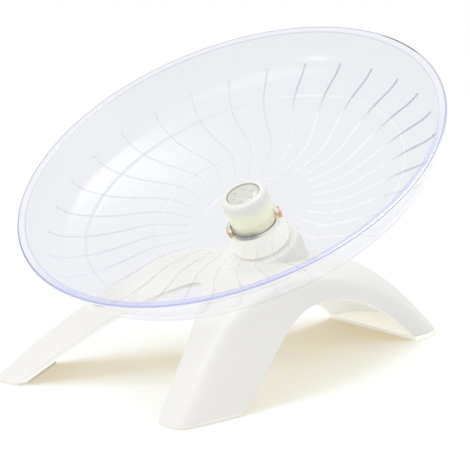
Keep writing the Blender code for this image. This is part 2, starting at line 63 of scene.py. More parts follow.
to_camera = Vector((math.cos(VIEW_ELEVATION) * math.sin(VIEW_AZIMUTH),
                    -math.cos(VIEW_ELEVATION) * math.cos(VIEW_AZIMUTH),
                    math.sin(VIEW_ELEVATION)))
camera_right = Vector((math.cos(VIEW_AZIMUTH), math.sin(VIEW_AZIMUTH), 0.0))
camera_up = to_camera.cross(camera_right)
aim = rim_centre + camera_right * AIM_RIGHT - camera_up * AIM_DOWN
camera_data = bpy.data.cameras.new("camera")
camera_data.lens = LENS_MM
camera_data.sensor_width = SENSOR_MM
camera_data.clip_end = CLIP_END
camera = bpy.data.objects.new("camera", camera_data)
camera.matrix_world = (Matrix.Translation(aim + to_camera * FRAME_HEIGHT * LENS_MM / SENSOR_MM)
                       @ Matrix((camera_right, camera_up, to_camera)).transposed().to_4x4())
bpy.context.scene.collection.objects.link(camera)
bpy.context.scene.camera = camera
bpy.context.scene.view_settings.view_transform = "Standard"


# Floor: the plain sweep that the wheel stands on. The camera sees it as white with a pale
# warm shadow, and the wheel sees it as plain light grey. Behind the clear dish the camera sees
# the light grey too, as in the photo, where only the outer background was cleared to white.
class Term:
    """A value that changes over a surface, so that a finish is written as plain sums."""

    def __init__(self, finish, socket):
        self.finish = finish
        self.socket = socket

    def joined(self, operation, first, second):
        return self.finish.node("ShaderNodeMath", {"operation": operation}, {0: first, 1: second})

    def __add__(self, other):
        return self.joined("ADD", self, other)

    def __radd__(self, other):
        return self.joined("ADD", other, self)

    def __sub__(self, other):
        return self.joined("SUBTRACT", self, other)

    def __rsub__(self, other):
        return self.joined("SUBTRACT", other, self)

    def __mul__(self, other):
        return self.joined("MULTIPLY", self, other)

    def __rmul__(self, other):
        return self.joined("MULTIPLY", other, self)

    def __truediv__(self, other):
        return self.joined("DIVIDE", self, other)

    def __rtruediv__(self, other):
        return self.joined("DIVIDE", other, self)

    def __pow__(self, other):
        return self.joined("POWER", self, other)

    def __rpow__(self, other):
        return self.joined("POWER", other, self)

    def larger(self, other):
        return self.joined("MAXIMUM", self, other)

    def rises(self, low, high):
        """A smooth step from 0 at low to 1 at high."""
        return self.finish.node("ShaderNodeMapRange", {"interpolation_type": "SMOOTHSTEP"},
                                {0: self, 1: low, 2: high, 3: 0.0, 4: 1.0})


class Finish:
    """A look that is built node by node: a new material, or the world that is given."""

    def __init__(self, name, world=None):
        self.material = world or bpy.data.materials.new(name)
        self.material.use_nodes = True
        self.tree = self.material.node_tree
        self.tree.nodes.clear()

    def node(self, kind, settings, sockets, output=0):
        node = self.tree.nodes.new(kind)
        for key, value in settings.items():
            setattr(node, key, value)
        for key, value in sockets.items():
            if isinstance(value, Term):
                self.tree.links.new(value.socket, node.inputs[key])
            else:
                node.inputs[key].default_value = value
        return Term(self, node.outputs[output])

    def place(self):
        return self.node("ShaderNodeTexCoord", {}, {}, "Object")

    def axle_place(self):
        """Object coordinates turned onto the tilted axle, with zero height in the rim's plane."""
        return self.node("ShaderNodeMapping", {"vector_type": "TEXTURE"},
                         {"Vector": self.place(), "Location": rim_centre, "Rotation": (tilt, 0, 0)})

    def parts_of(self, vector):
        split = self.node("ShaderNodeSeparateXYZ", {}, {0: vector})
        outputs = split.socket.node.outputs
        return [Term(self, outputs[index]) for index in range(3)]

    def noise(self, vector, scale, detail=2.0):
        return self.node("ShaderNodeTexNoise", {},
                         {"Vector": vector, "Scale": scale, "Detail": detail})

    def blend(self, factor, first, second):
        """A colour, or an earlier blend, that turns from the first to the second."""
        first, second = (value if isinstance(value, Term) else (*value, 1.0)
                         for value in (first, second))
        return self.node("ShaderNodeMix", {"data_type": "RGBA"},
                         {0: factor, 6: first, 7: second}, 2)

    def bump(self, height, distance, strength=1.0):
        return self.node("ShaderNodeBump", {}, {"Height": height, "Distance": distance,
                                                "Strength": strength})

    def seen_by(self, *rays):
        """1 for the named kinds of ray, such as Is Camera Ray, and 0 for the rest."""
        seen = self.node("ShaderNodeLightPath", {}, {}, rays[0])
        for ray in rays[1:]:
            seen = seen.larger(self.node("ShaderNodeLightPath", {}, {}, ray))
        return seen

    def close_to(self, value, centre, reach):
        """1 where the value is at the centre, fading to 0 at the given reach from it."""
        away = self.node("ShaderNodeMath", {"operation": "ABSOLUTE"}, {0: value - centre})
        return 1.0 - away.rises(0.0, reach)

    def surface(self, shader, kind="ShaderNodeOutputMaterial"):
        output = self.tree.nodes.new(kind)
        self.tree.links.new(shader.socket, output.inputs["Surface"])
        return self.material


def linked(thing):
    bpy.context.scene.collection.objects.link(thing)
    return thing


FLOOR_HALF_WIDTH = 8.0
FLOOR_GREY = 0.86
SHADOW_BLUE = (0.60, 0.76, 1.00)
SHADOW_LIFT = (0.48, 0.35, 0.11)
BEHIND_DISH = (0.20, 0.21, 0.24)
BEHIND_LIFT = (0.73, 0.73, 0.74)
WHITE_FROM = 0.20
WHITE_BY = 0.50
BLACK = (0.0, 0.0, 0.0)
WHITE = (1.0, 1.0, 1.0)
BACKGROUND_RAYS = ("Is Camera Ray", "Is Glossy Ray", "Is Transmission Ray")
floor_mesh = bpy.data.meshes.new("floor")
floor_shape = bmesh.new()
bmesh.ops.create_grid(floor_shape, x_segments=1, y_segments=1, size=FLOOR_HALF_WIDTH)
floor_shape.to_mesh(floor_mesh)
floor_shape.free()
floor = linked(bpy.data.objects.new("floor", floor_mesh))
sweep = Finish("sweep")
sweep_x, sweep_y = sweep.parts_of(sweep.place())[:2]
far_off = ((sweep_x ** 2.0 + sweep_y ** 2.0) ** 0.5).rises(WHITE_FROM, WHITE_BY)
toned = sweep.node("ShaderNodeBsdfPrincipled", {}, {
    "Base Color": sweep.blend(far_off, SHADOW_BLUE, BLACK),
    "Roughness": 1.0, "Specular IOR Level": 0.0,
    "Emission Color": sweep.blend(far_off, SHADOW_LIFT, WHITE),
    "Emission Strength": 1.0})
plain = sweep.node("ShaderNodeBsdfPrincipled", {}, {
    "Base Color": (FLOOR_GREY, FLOOR_GREY, FLOOR_GREY, 1.0), "Roughness": 1.0,
    "Specular IOR Level": 0.0})
behind = sweep.node("ShaderNodeBsdfPrincipled", {}, {
    "Base Color": (*BEHIND_DISH, 1.0), "Roughness": 1.0, "Specular IOR Level": 0.0,
    "Emission Color": (*BEHIND_LIFT, 1.0), "Emission Strength": 1.0})
layers = sweep.node("ShaderNodeLightPath", {}, {}, "Transparent Depth")
shown = sweep.node("ShaderNodeMixShader", {}, {0: layers.rises(0.0, 1.0), 1: toned, 2: behind})
floor_mesh.materials.append(sweep.surface(
    sweep.node("ShaderNodeMixShader", {}, {0: sweep.seen_by(*BACKGROUND_RAYS),
                                           1: plain, 2: shown})))


# Light: a pale grey studio that the camera sees as white, a large soft lamp high at the front
# left, a low one below it for the spot on the dish's far wall, and weak ones at the right and
# top. Each lamp is a square softbox that faces the hub, given by place, size, watts and colour.
WORLD_GREY = 0.65
LAMPS = (("key_lamp", (-0.26, -0.74, 1.07), 0.66, 2.9, (1.0, 0.99, 0.97)),
         ("fill_lamp", (0.72, 0.36, 0.50), 0.80, 1.5, (1.0, 0.995, 0.96)),
         ("low_lamp", (-0.35, -1.23, 0.27), 0.27, 1.6, (1.0, 1.0, 1.0)),
         ("top_lamp", (-0.40, 0.12, 1.00), 0.24, 1.4, (1.0, 1.0, 1.0)))
studio = bpy.data.worlds.new("studio")
bpy.context.scene.world = studio
sky = Finish("studio", studio)
dim_sky = sky.node("ShaderNodeBackground", {},
                   {"Color": (WORLD_GREY, WORLD_GREY, WORLD_GREY, 1.0)})
white_sky = sky.node("ShaderNodeBackground", {}, {"Color": (*WHITE, 1.0)})
sky.surface(sky.node("ShaderNodeMixShader", {}, {0: sky.seen_by(*BACKGROUND_RAYS), 1: dim_sky,
                                                 2: white_sky}), "ShaderNodeOutputWorld")

for lamp_name, lamp_place, lamp_size, watts, lamp_colour in LAMPS:
    softbox = bpy.data.lights.new(lamp_name, "AREA")
    softbox.size = lamp_size
    softbox.energy = watts
    softbox.color = lamp_colour
    lamp = linked(bpy.data.objects.new(lamp_name, softbox))
    lamp.location = lamp_place
    lamp.rotation_euler = (Vector(lamp_place) - bearing_centre).to_track_quat("Z", "Y").to_euler()


# Dish: a saucer of clear acrylic, injection moulded in one piece with a lip, low rings on
# its floor and a collar below for the bearing. It turns with the outer ring of the bearing.
RIM_RADIUS = 0.0900
LIP_HEIGHT = 0.0025
LIP_WIDTH = 0.0034
DISH_WALL = 0.0018
WALL_HEIGHT = 0.0133
WALL_LEAN = 0.0036
WALL_FILLET = 0.0085
FLOOR_DEPTH = 0.0250
COLLAR_OUTER = 0.0118
COLLAR_BORE = 0.0098
COLLAR_FOOT = 0.0388
LEDGE_RADIUS = 0.0081
LEDGE_TOP = 0.0373
RING_RADII = (0.0220, 0.0406, 0.0670)
RING_WIDTH = 0.0010
RING_RISE = 0.0004
EDGE_ROUND = 0.0004
WALL_FOOT = RIM_RADIUS - LIP_WIDTH - WALL_LEAN
FLOOR_RISE = FLOOR_DEPTH - WALL_HEIGHT
BOWL_STEP = 0.0033
UNDERSIDE_STEP = 0.0035
TURN_STEPS = 192
MERGE_WITHIN = 0.000005
CLEAR_TINT = (0.47, 0.49, 0.56)
LIP_TINT = (0.76, 0.77, 0.85)
LOW_LIP_SHADE_TINT = (0.50, 0.54, 0.92)
SIDE_LIGHT_TINT = (0.92, 0.92, 0.97)
EDGE_SHADE_TINT = (0.16, 0.19, 0.40)
DARK_EDGE_SHADE_TINT = (0.03, 0.03, 0.04)
RING_HIGHLIGHT_TINT = (0.95, 0.95, 0.97)
LEFT_RING_SHADE_TINT = (0.42, 0.43, 0.48)
FROST_TINT = (0.90, 0.89, 0.85)
GAP_SHADE_TINT = (0.05, 0.05, 0.05)
HUB_AND_SIDE_PAINTED_GLOW = (0.20, 0.20, 0.19)
LOW_SIDE = (0.77, -0.64, 0.0, 0.55)
LOW_LEFT = (-0.515, -0.857, 0.90, 1.0)
LEFT_SIDE = (-0.956, -0.29, 0.1, 0.6)
HIGH_RIGHT = (0.20, 0.98, 0.985, 0.998)
GAP_SHADE_SIDE = (-0.30, -0.95, 0.05, 0.60)
FROST_TOP = 0.0290
GAP_TOP = 0.0278
GAP_FOOT = 0.0310
LINE_WIDTH = 0.0010
LIP_TOP_FADE = (-0.0006, -0.0002)
OUTER_LINE_FADE = (-0.0014, -0.0010)
INNER_LINE_REACH = 0.0006
INNER_LINE_SHARE = 0.6
RING_LINE_REACH = 0.0008
INNER_RING_SHARE = 0.5
CLEAR_VEIL = 0.16
SIDE_VEIL = 0.12
LIP_VEIL = 0.06
LOW_LIP_VEIL = 0.24
LINE_VEIL = 0.46
LOW_LINE_VEIL = 0.30
DARK_LINE_VEIL = 0.40
RING_VEIL = 0.16
EDGE_ON_VEIL = 0.30
HAZE_VEIL = 0.03
FROST_VEIL = 0.93
SHADOW_CUT = 0.80
CLEAR_ROUGHNESS = 0.20
FROST_ROUGHNESS = 0.26
CLEAR_IOR = 2.1


def floor_height(radius):
    return FLOOR_RISE * (radius / WALL_FOOT) ** 2 - FLOOR_DEPTH


def soft_bend(start, corner, end, steps):
    """Points on a smooth bend that leaves start and reaches end heading for the corner."""
    points = []
    for step in range(steps + 1):
        share = step / steps
        points.append(tuple((1 - share) ** 2 * a + 2 * share * (1 - share) * b + share ** 2 * c
                            for a, b, c in zip(start, corner, end)))
    return points


def rounded(profile, radius, steps=2):
    """A closed profile with each sharp corner eased by the same small radius."""
    points = []
    count = len(profile)
    for index in range(count):
        before = Vector(profile[index - 1])
        here = Vector(profile[index])
        after = Vector(profile[(index + 1) % count])
        into = before - here
        away = after - here
        if into.length == 0 or away.length == 0 or into.angle(away) > math.radians(150):
            points.append(tuple(here))
            continue
        reach = min(radius, into.length * 0.4, away.length * 0.4)
        points += soft_bend(here + into.normalized() * reach, here,
                            here + away.normalized() * reach, steps)
    return points


def turned_mesh(name, profile, steps, closed=True):
    """A turned shape on the wheel's tilted axle, from a profile of radius and height."""
    mesh = bpy.data.meshes.new(name)
    edges = [(index, index + 1) for index in range(len(profile) - 1)]
    if closed:
        edges.append((len(profile) - 1, 0))
    mesh.from_pydata([(radius, 0.0, height) for radius, height in profile], edges, [])
    holder = linked(bpy.data.objects.new(name, mesh))
    turn = holder.modifiers.new("turn", "SCREW")
    turn.steps = steps
    turn.render_steps = steps
    turn.use_merge_vertices = True
    turn.merge_threshold = MERGE_WITHIN
    result = settled(holder)
    result.transform(on_axle)
    return result


def settled(holder):
    """The holder's mesh with its modifiers applied. The holder itself is removed."""
    bpy.context.view_layer.update()
    graph = bpy.context.evaluated_depsgraph_get()
    mesh = bpy.data.meshes.new_from_object(holder.evaluated_get(graph))
    name = holder.name
    bpy.data.objects.remove(holder, do_unlink=True)
    mesh.name = name
    return mesh


def smoothed(mesh, angle=35.0):
    mesh.shade_smooth()
    mesh.set_sharp_from_angle(angle=math.radians(angle))
    return mesh


def piece(name, mesh, finish, body, slot, *nodes):
    thing = linked(bpy.data.objects.new(name, mesh))
    mesh.materials.clear()
    mesh.materials.append(finish)
    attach(thing, body)
    if nodes:
        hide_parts(*nodes)
    return thing


def ring_bump(radius):
    half = RING_WIDTH / 2
    return [(radius - half, floor_height(radius - half)),
            (radius - half / 2, floor_height(radius) + RING_RISE * 0.8),
            (radius, floor_height(radius) + RING_RISE),
            (radius + half / 2, floor_height(radius) + RING_RISE * 0.8),
            (radius + half, floor_height(radius + half))]


wall_top = RIM_RADIUS - LIP_WIDTH
lean = WALL_LEAN / WALL_HEIGHT
outer_wall = wall_top + DISH_WALL - lean * LIP_HEIGHT
outer_fillet = WALL_FILLET + DISH_WALL
outer_foot = WALL_FOOT + DISH_WALL
corner = (outer_foot, floor_height(outer_foot) - DISH_WALL)
floor_edge = outer_foot - outer_fillet
rim = [(wall_top, 0.0), (RIM_RADIUS, 0.0), (RIM_RADIUS, -LIP_HEIGHT), (outer_wall, -LIP_HEIGHT)]
under = soft_bend((outer_foot + lean * outer_fillet, corner[1] + outer_fillet), corner,
                  (floor_edge, floor_height(floor_edge) - DISH_WALL), 10)
radius = floor_edge
while radius > COLLAR_OUTER + 0.004:
    radius -= UNDERSIDE_STEP
    under.append((radius, floor_height(radius) - DISH_WALL))
collar = [(COLLAR_OUTER, floor_height(COLLAR_OUTER) - DISH_WALL), (COLLAR_OUTER, -COLLAR_FOOT),
          (LEDGE_RADIUS, -COLLAR_FOOT), (LEDGE_RADIUS, -LEDGE_TOP), (COLLAR_BORE, -LEDGE_TOP),
          (COLLAR_BORE, floor_height(COLLAR_BORE))]
inner_edge = WALL_FOOT - WALL_FILLET
bowl = []
radius = COLLAR_BORE + 0.002
rings = list(RING_RADII)
while radius < inner_edge - 0.001:
    if rings and radius > rings[0] - RING_WIDTH:
        bowl += ring_bump(rings[0])
        radius = rings.pop(0) + RING_WIDTH
    bowl.append((radius, floor_height(radius)))
    radius += BOWL_STEP
bowl += soft_bend((inner_edge, floor_height(inner_edge)), (WALL_FOOT, -WALL_HEIGHT),
                  (WALL_FOOT + lean * WALL_FILLET, -WALL_HEIGHT + WALL_FILLET), 10)
clear = Finish("clear_acrylic")
across, along, above = clear.parts_of(clear.axle_place())
from_axle = (across * across + along * along) ** 0.5


def towards(across, along, side):
    """1 on one side of the axle and 0 elsewhere. A side is a heading across and along, then
    the cosines of the angles from that heading at which the value starts and is full."""
    heading_across, heading_along, starts, full = side
    out = (across * across + along * along) ** 0.5
    return ((heading_across * across + heading_along * along) / out).rises(starts, full)


# Where each part of the dish lies: the lip's top and lines, the outer side, the rings and the hub.
lip_top = above.rises(*LIP_TOP_FADE)
lip_share = lip_top * from_axle.rises(wall_top - 0.0002, wall_top + 0.0002)
outer_face = (from_axle - lean * above).rises(wall_top + DISH_WALL * 0.4,
                                              wall_top + DISH_WALL * 0.6)
outer_face = outer_face * (1.0 - lip_top)
low_side = towards(across, along, LOW_SIDE)
low_left = towards(across, along, LOW_LEFT)
left_side = towards(across, along, LEFT_SIDE)
high_right = towards(across, along, HIGH_RIGHT)
# Painted shade: dark lines on the lip's edges, stronger at the lower left, paler on the low side.
outer_line = above.rises(*OUTER_LINE_FADE) * from_axle.rises(RIM_RADIUS - LINE_WIDTH,
                                                             RIM_RADIUS - LINE_WIDTH / 2)
inner_line = lip_top * clear.close_to(from_axle, wall_top, INNER_LINE_REACH)
lines = outer_line.larger(inner_line * INNER_LINE_SHARE)
# Painted highlight and shade: the floor's low rings are drawn as pale lines, grey on the left side.
floor_rings = clear.close_to(from_axle, RING_RADII[2], RING_LINE_REACH)
for ring_radius in (RING_RADII[1], RING_RADII[0]):
    ring_line = clear.close_to(from_axle, ring_radius, RING_LINE_REACH)
    floor_rings = floor_rings.larger(INNER_RING_SHARE * ring_line)
hub_share = (-1.0 * above).rises(FROST_TOP, FROST_TOP + 0.0004)
# Painted shade: a dark band on one side of the collar's inner face, at the cap's foot.
painted_gap_shade = 1.0 - from_axle.rises(COLLAR_BORE + 0.0004, COLLAR_BORE + 0.0008)
painted_gap_shade = painted_gap_shade * above.rises(-GAP_FOOT, -GAP_FOOT + 0.0006)
painted_gap_shade = painted_gap_shade * (-1.0 * above).rises(GAP_TOP, GAP_TOP + 0.0005)
painted_gap_shade = painted_gap_shade * towards(across, along, GAP_SHADE_SIDE)

# How much each part veils what is behind it. Inner faces and the shadow are left nearly clear.
edge_on = clear.node("ShaderNodeLayerWeight", {}, {"Blend": 0.25}, "Facing")
haze = clear.noise(clear.place(), 60.0, 3.0)
front = 1.0 - clear.node("ShaderNodeNewGeometry", {}, {}, "Backfacing")
veil = CLEAR_VEIL + SIDE_VEIL * outer_face + lip_share * (LIP_VEIL + LOW_LIP_VEIL * low_side)
veil = veil + (LINE_VEIL + LOW_LINE_VEIL * low_left) * lines + RING_VEIL * floor_rings
veil = veil + EDGE_ON_VEIL * edge_on ** 4.0 + HAZE_VEIL * (haze - 0.5)
# Painted shade: the outer edge line turns nearly black on the high right side.
veil = veil + DARK_LINE_VEIL * outer_line * high_right
veil = front * veil * (1.0 - SHADOW_CUT * clear.seen_by("Is Shadow Ray"))
veil = veil.larger(FROST_VEIL * hub_share).larger(FROST_VEIL * painted_gap_shade)

# Painted shade: the lip's top is darker and bluer towards its low side, and veils more there.
lip_tint = clear.blend(low_side, LIP_TINT, LOW_LIP_SHADE_TINT)
tint = clear.blend(lip_share, CLEAR_TINT, lip_tint)
tint = clear.blend(outer_face, tint, SIDE_LIGHT_TINT)
tint = clear.blend(lines * (0.8 - 0.6 * low_side), tint, EDGE_SHADE_TINT)
tint = clear.blend(outer_line * high_right, tint, DARK_EDGE_SHADE_TINT)
tint = clear.blend(floor_rings, tint, RING_HIGHLIGHT_TINT)
tint = clear.blend(floor_rings * left_side, tint, LEFT_RING_SHADE_TINT)
tint = clear.blend(hub_share, tint, FROST_TINT)
tint = clear.blend(painted_gap_shade, tint, GAP_SHADE_TINT)
ripple = clear.bump(clear.noise(clear.place(), 90.0, 1.0), 0.00004, 0.3)
# Painted light: the outer side is painted pale, and it and the frosted collar glow faintly.
clear_finish = clear.surface(clear.node("ShaderNodeBsdfPrincipled", {}, {
    "Base Color": tint, "Roughness": CLEAR_ROUGHNESS + FROST_ROUGHNESS * hub_share,
    "IOR": CLEAR_IOR, "Alpha": veil,
    "Emission Color": clear.blend(hub_share.larger(outer_face), BLACK, HUB_AND_SIDE_PAINTED_GLOW),
    "Emission Strength": 1.0, "Normal": ripple}))
dish_profile = rounded(rim + under + collar + bowl, EDGE_ROUND)
dish_mesh = smoothed(turned_mesh("dish_body", dish_profile, TURN_STEPS), 40.0)
piece("dish_body", dish_mesh, clear_finish, "dish", "clear_plastic", "dish")


# Running ribs: thin raised ribs moulded on the bowl's floor, each a lazy S from
# the hub circle to the foot of the wall, which give the animal's feet a grip.
RIB_COUNT = 31
RIB_INNER = 0.0265
RIB_OUTER = 0.0815
RIB_WIDTH = 0.00055
RIB_RISE = 0.00045
RIB_FIRST_ANGLE = math.radians(148.2)
RIB_BEND_POINTS = ((0.0265, -2.6), (0.0300, -4.3), (0.0340, -5.7), (0.0380, -6.5), (0.0410, -6.5),
                   (0.0450, -5.4), (0.0500, -3.6), (0.0550, -1.9), (0.0600, -0.8), (0.0650, -0.1),
                   (0.0700, 0.0), (0.0750, -0.3), (0.0815, -1.3))
RIB_BEND_RANGE = 12.0
RIB_CLIMB_FROM = 0.0745
RIB_CLIMB = 36.0
RIB_STEPS = 48
RIB_SIDES = 8
RIB_DARK_TONE = (0.60, 0.61, 0.67)
RIB_LIGHT_TONE = (0.70, 0.71, 0.77)
RIB_INNER_TONE = (0.92, 0.92, 0.95)
RIB_FAR_SHADE_TONE = (0.20, 0.21, 0.36)
RIB_LIT_GLOW = (0.20, 0.20, 0.20)
RIB_FAR_SIDE = (0.34, 0.94, 0.45, 0.85)
RIB_FAR_RADII = (0.060, 0.070)
RIB_NEAR_SIDE = (0.57, -0.82, -0.10, 0.50)
RIB_NEAR_RADII = (0.056, 0.068)
RIB_LIT_SIDE = (0.67, 0.74, 0.25, 0.60)
RIB_LIT_RADII = (0.056, 0.066)
RIB_INNER_RADII = (0.034, 0.056)
RIB_VEIL = 0.13
RIB_GRAIN_VEIL = 0.07
RIB_FAR_VEIL = 0.08
RIB_LIT_VEIL = 0.08


def rib_tree():
    tree = bpy.data.node_groups.new("running_ribs", "GeometryNodeTree")
    sockets = {}
    tree.interface.new_socket("Geometry", in_out="INPUT", socket_type="NodeSocketGeometry")
    for name, kind in (("Rib Count", "NodeSocketInt"), ("Inner Radius", "NodeSocketFloat"),
                       ("Outer Radius", "NodeSocketFloat"), ("Width", "NodeSocketFloat"),
                       ("Rise", "NodeSocketFloat"), ("First Angle", "NodeSocketFloat"),
                       ("Floor Depth", "NodeSocketFloat"), ("Floor Rise", "NodeSocketFloat"),
                       ("Wall Foot", "NodeSocketFloat"), ("Climb From", "NodeSocketFloat"),
                       ("Climb", "NodeSocketFloat"), ("Finish", "NodeSocketMaterial")):
        sockets[name] = tree.interface.new_socket(name, in_out="INPUT", socket_type=kind).identifier
    tree.interface.new_socket("Geometry", in_out="OUTPUT", socket_type="NodeSocketGeometry")
    given = tree.nodes.new("NodeGroupInput")

    def step(kind, settings, inputs, output=0):
        node = tree.nodes.new(kind)
        for key, value in settings.items():
            setattr(node, key, value)
        for key, value in inputs.items():
            if isinstance(value, bpy.types.NodeSocket):
                tree.links.new(value, node.inputs[key])
            else:
                node.inputs[key].default_value = value
        return node.outputs[output]

    def worked(operation, first, second):
        return step("ShaderNodeMath", {"operation": operation}, {0: first, 1: second})

    line = step("GeometryNodeCurvePrimitiveLine", {}, {"Start": (0, 0, 0), "End": (1, 0, 0)})
    line = step("GeometryNodeResampleCurve", {}, {"Curve": line, "Count": RIB_STEPS})
    share = step("GeometryNodeSplineParameter", {}, {}, "Factor")
    reach = step("ShaderNodeMapRange", {}, {0: share, 1: 0.0, 2: 1.0,
                                            3: given.outputs["Inner Radius"],
                                            4: given.outputs["Outer Radius"]})
    bend_node = tree.nodes.new("ShaderNodeFloatCurve")
    curve = bend_node.mapping.curves[0]
    spots = [((radius - RIB_INNER) / (RIB_OUTER - RIB_INNER), 0.5 + degrees / RIB_BEND_RANGE / 2)
             for radius, degrees in RIB_BEND_POINTS]
    spots = [(min(1.0, max(0.0, place)), height) for place, height in spots]
    curve.points[0].location = spots[0]
    curve.points[1].location = spots[-1]
    for spot in spots[1:-1]:
        curve.points.new(*spot)
    bend_node.mapping.update()
    tree.links.new(share, bend_node.inputs["Value"])
    bend = worked("MULTIPLY", worked("SUBTRACT", bend_node.outputs[0], 0.5),
                  math.radians(RIB_BEND_RANGE) * 2)
    east = worked("MULTIPLY", reach, step("ShaderNodeMath", {"operation": "COSINE"}, {0: bend}))
    north = worked("MULTIPLY", reach, step("ShaderNodeMath", {"operation": "SINE"}, {0: bend}))
    part_way = worked("DIVIDE", reach, given.outputs["Wall Foot"])
    lift = worked("SUBTRACT", worked("MULTIPLY", worked("MULTIPLY", part_way, part_way),
                                     given.outputs["Floor Rise"]), given.outputs["Floor Depth"])
    beyond = worked("MAXIMUM", worked("SUBTRACT", reach, given.outputs["Climb From"]), 0.0)
    climb = worked("MULTIPLY", worked("MULTIPLY", beyond, beyond), given.outputs["Climb"])
    spot = step("ShaderNodeCombineXYZ", {}, {0: east, 1: north, 2: worked("ADD", lift, climb)})
    path = step("GeometryNodeSetPosition", {}, {"Geometry": line, "Position": spot})
    path = step("GeometryNodeSetCurveNormal", {"mode": "Z_UP"}, {0: path})
    taper = worked("MULTIPLY", share, worked("SUBTRACT", 1.0, share))
    taper = step("ShaderNodeMapRange", {}, {0: taper, 1: 0.0, 2: 0.05, 3: 0.35, 4: 1.0})
    ring = step("GeometryNodeCurvePrimitiveCircle", {}, {"Resolution": RIB_SIDES, "Radius": 0.5})
    size = step("ShaderNodeCombineXYZ", {}, {0: given.outputs["Width"], 1: worked(
        "MULTIPLY", given.outputs["Rise"], 2.0), 2: 1.0})
    ring = step("GeometryNodeTransform", {}, {"Geometry": ring, "Scale": size})
    path = step("GeometryNodeSetCurveRadius", {}, {"Curve": path, "Radius": taper})
    rib = step("GeometryNodeCurveToMesh", {}, {"Curve": path, "Profile Curve": ring,
                                               "Fill Caps": True})
    spots_cloud = step("GeometryNodePoints", {}, {"Count": given.outputs["Rib Count"]})
    order = step("GeometryNodeInputIndex", {}, {})
    turn = worked("DIVIDE", worked("MULTIPLY", order, -2 * math.pi), given.outputs["Rib Count"])
    turn = worked("ADD", turn, given.outputs["First Angle"])
    facing = step("ShaderNodeCombineXYZ", {}, {0: 0.0, 1: 0.0, 2: turn})
    copies = step("GeometryNodeInstanceOnPoints", {}, {"Points": spots_cloud, "Instance": rib,
                                                       "Rotation": facing})
    copies = step("GeometryNodeRealizeInstances", {}, {0: copies})
    copies = step("GeometryNodeSetMaterial", {}, {"Geometry": copies,
                                                  "Material": given.outputs["Finish"]})
    closing = tree.nodes.new("NodeGroupOutput")
    tree.links.new(copies, closing.inputs[0])
    return tree, sockets


rib_look = Finish("clear_ribs")
rib_grain = rib_look.noise(rib_look.place(), 80.0, 2.0)
rib_across, rib_along = rib_look.parts_of(rib_look.axle_place())[:2]
rib_radius = (rib_across * rib_across + rib_along * rib_along) ** 0.5
# Painted shade: the ribs turn dark on the far high side, and fainter on the near side.
rib_far_shade = towards(rib_across, rib_along, RIB_FAR_SIDE) * rib_radius.rises(*RIB_FAR_RADII)
rib_near = towards(rib_across, rib_along, RIB_NEAR_SIDE) * rib_radius.rises(*RIB_NEAR_RADII)
# Painted highlight: on the lit side the ribs turn white and glow faintly.
rib_lit = towards(rib_across, rib_along, RIB_LIT_SIDE) * (1.0 - rib_radius.rises(*RIB_LIT_RADII))
rib_inner = 1.0 - rib_radius.rises(*RIB_INNER_RADII)
rib_tone = rib_look.blend(rib_grain, RIB_DARK_TONE, RIB_LIGHT_TONE)
rib_tone = rib_look.blend(0.5 * rib_inner, rib_tone, RIB_INNER_TONE)
rib_tone = rib_look.blend(rib_lit, rib_tone, WHITE)
rib_veil = RIB_VEIL + RIB_GRAIN_VEIL * rib_grain + RIB_FAR_VEIL * rib_far_shade
rib_veil = rib_veil * (1.0 - 0.75 * rib_near) * (1.0 - 0.35 * rib_inner)
rib_finish = rib_look.surface(rib_look.node("ShaderNodeBsdfPrincipled", {}, {
    "Base Color": rib_look.blend(rib_far_shade, rib_tone, RIB_FAR_SHADE_TONE),
    "Roughness": 0.22, "IOR": 1.8, "Alpha": rib_veil + RIB_LIT_VEIL * rib_lit,
    "Emission Color": rib_look.blend(rib_lit, BLACK, RIB_LIT_GLOW),
    "Emission Strength": 1.0}))
rib_group, rib_sockets = rib_tree()
rib_holder = linked(bpy.data.objects.new("dish_ribs", bpy.data.meshes.new("dish_ribs")))
rib_nodes = rib_holder.modifiers.new("ribs", "NODES")
rib_nodes.node_group = rib_group
for rib_input, rib_value in (
        ("Rib Count", RIB_COUNT), ("Inner Radius", RIB_INNER), ("Outer Radius", RIB_OUTER),
        ("Width", RIB_WIDTH), ("Rise", RIB_RISE), ("First Angle", RIB_FIRST_ANGLE),
        ("Floor Depth", FLOOR_DEPTH), ("Floor Rise", FLOOR_RISE), ("Wall Foot", WALL_FOOT),
        ("Climb From", RIB_CLIMB_FROM), ("Climb", RIB_CLIMB),
        ("Finish", rib_finish)):
    rib_nodes[rib_sockets[rib_input]] = rib_value
rib_mesh = settled(rib_holder)
rib_mesh.transform(on_axle)
piece("dish_ribs", smoothed(rib_mesh, 60.0), rib_finish, "dish", "clear_plastic")


# Stand: one thin white moulding, arched over three feet, with a round boss on top that the
# axle bolt passes through. Its top faces and skirts meet in a soft ridge along each leg.
SHELL_WALL = 0.0022
SHELL_FOOT = 0.0015
FRONT_REACH = 0.0795
FRONT_HALF_SPREAD = 0.0520
REAR_REACH = 0.1035
REAR_HALF_WIDTH = 0.0220
SADDLE_HEIGHT = 0.0420
BOSS_RADIUS = 0.0155
BOSS_TOP = 0.0398
POCKET_FLOOR = 0.0490
BOSS_FOOT = 0.0556
BOSS_EASE = 0.0008
BOLT_HOLE = 0.00315
POCKET_RADIUS = 0.0072
RIDGE_TOP_SHARE = 0.20
RIDGE_SKIRT_SHARE = 0.16
REAR_RIDGE_TOP_SHARE = 0.10
REAR_RIDGE_SKIRT_SHARE = 0.08
SUBDIVISIONS = 4
LIP_EASE = 0.0004
MOULDED_DARK = (0.895, 0.885, 0.855)
MOULDED_LIGHT = (0.925, 0.915, 0.890)
BOUNCE_GLOW = (0.64, 0.63, 0.57)
UNDER_GLOW_SHARE = 0.50
INSIDE_GLOW_SHARE = 0.90
BELOW_DISH_GLOW_SHARE = 0.15
UNDER_FACING = (0.05, 0.45)
